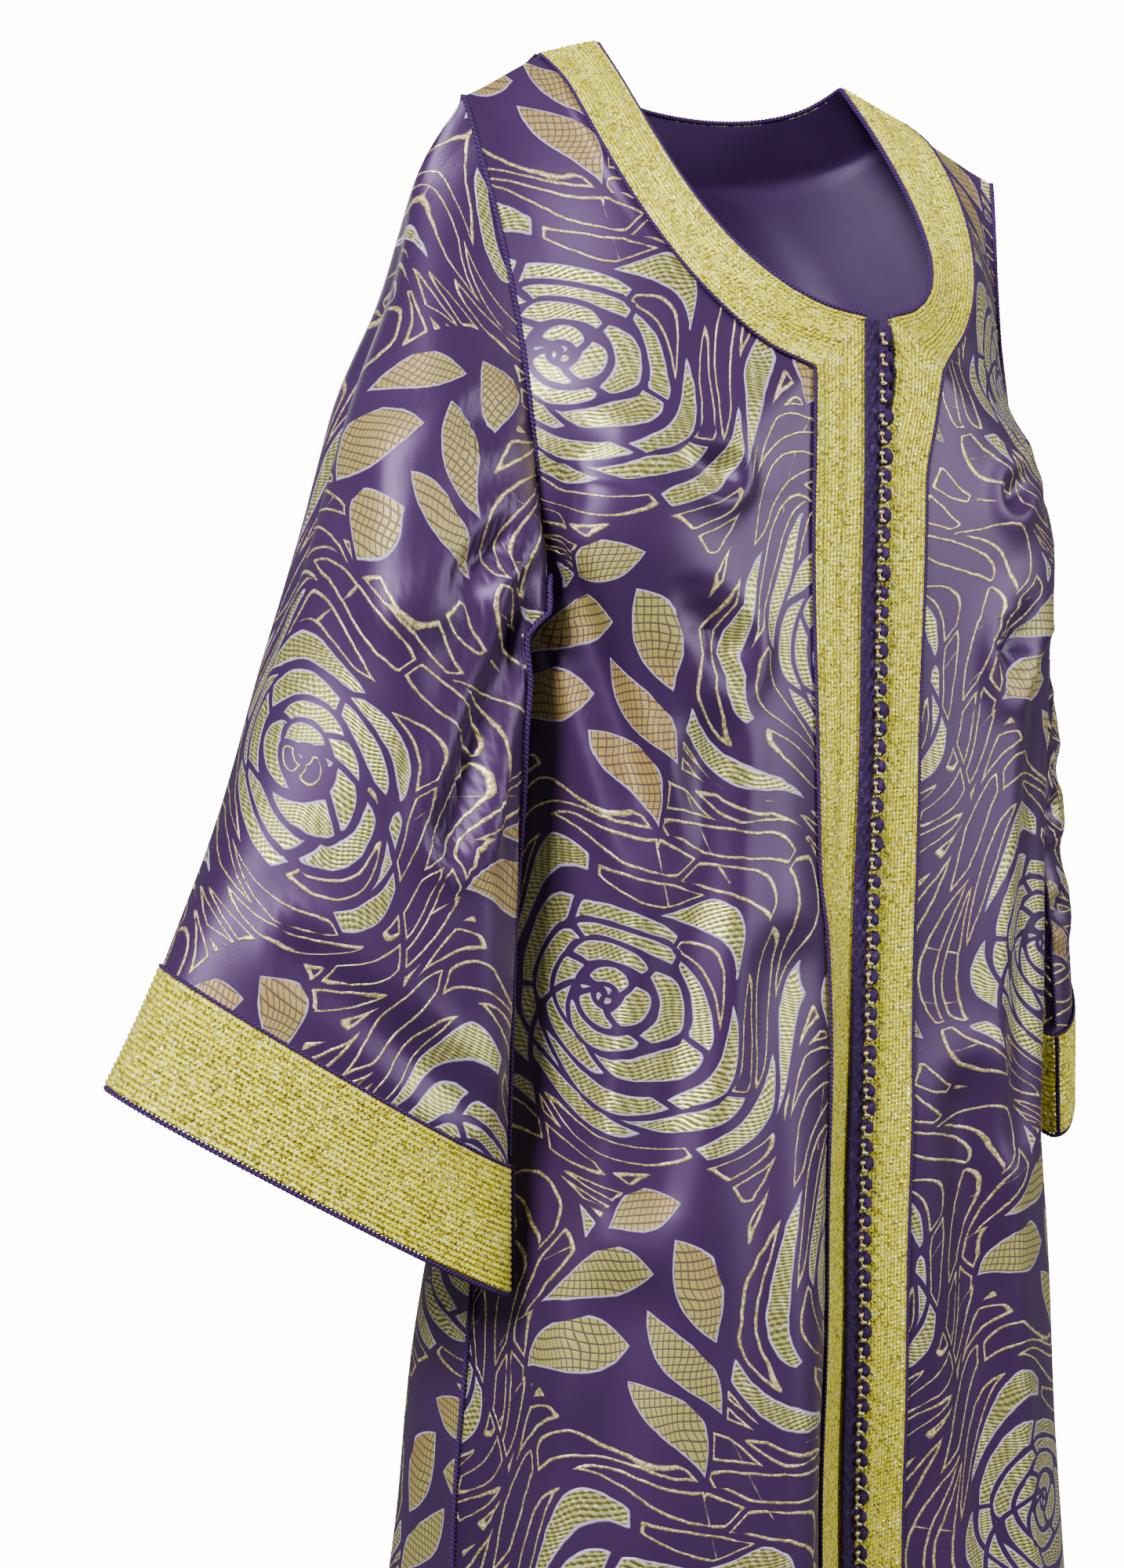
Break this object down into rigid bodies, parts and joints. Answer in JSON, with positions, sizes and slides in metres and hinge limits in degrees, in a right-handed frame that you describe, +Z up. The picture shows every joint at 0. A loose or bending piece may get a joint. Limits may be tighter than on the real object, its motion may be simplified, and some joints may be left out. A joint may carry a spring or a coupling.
{
  "type": "moroccan kaftan",
  "caption": "Long open-fronted kaftan with wide sleeves, in purple brocade with rose figures, edged with gold woven bands and piping, and closed by a row of small knotted buttons.",
  "frame": {"origin": "midway between the points where the shoulder seams meet the neck, on top of the shoulders, where the wearer holds the kaftan", "axes": "+Z up, -Y out of the front, +X to the wearer's left"},
  "size_m": [0.7336, 0.3744, 1.4042],
  "materials": {
    "purple_brocade": "satin ground with woven champagne roses, beige-gold leaves and fine dotted gold outlines",
    "gold_woven_band": "close rows of yellow-gold metallic braid",
    "purple_cord": "twisted dark violet piping cord",
    "button_braid": "very dark violet braid and thread-covered buttons"
  },
  "bodies": {
    "root": {"front_right": "purple_brocade", "front_left": "purple_brocade", "back": "purple_brocade", "sleeve_right": "purple_brocade", "sleeve_left": "purple_brocade", "neck_band_right": "gold_woven_band", "neck_band_back": "gold_woven_band", "neck_band_left": "gold_woven_band", "front_band_right": "gold_woven_band", "front_band_left": "gold_woven_band", "cuff_band_right": "gold_woven_band", "cuff_band_left": "gold_woven_band", "button_braid": "button_braid", "button_row": "button_braid", "neck_edge_cord": "purple_cord", "front_edge_cord_left": "purple_cord", "band_cord_right": "purple_cord", "band_cord_back": "purple_cord", "band_cord_left": "purple_cord", "armhole_cord_right": "purple_cord", "armhole_cord_left": "purple_cord", "sleeve_seam_cord_right": "purple_cord", "sleeve_seam_cord_left": "purple_cord", "cuff_seam_cord_right": "purple_cord", "cuff_seam_cord_left": "purple_cord", "cuff_top_cord_right": "purple_cord", "cuff_top_cord_left": "purple_cord", "cuff_edge_cord_right": "purple_cord", "cuff_edge_cord_left": "purple_cord", "side_seam_cord_right": "purple_cord", "side_seam_cord_left": "purple_cord"}
  },
  "joints": []
}
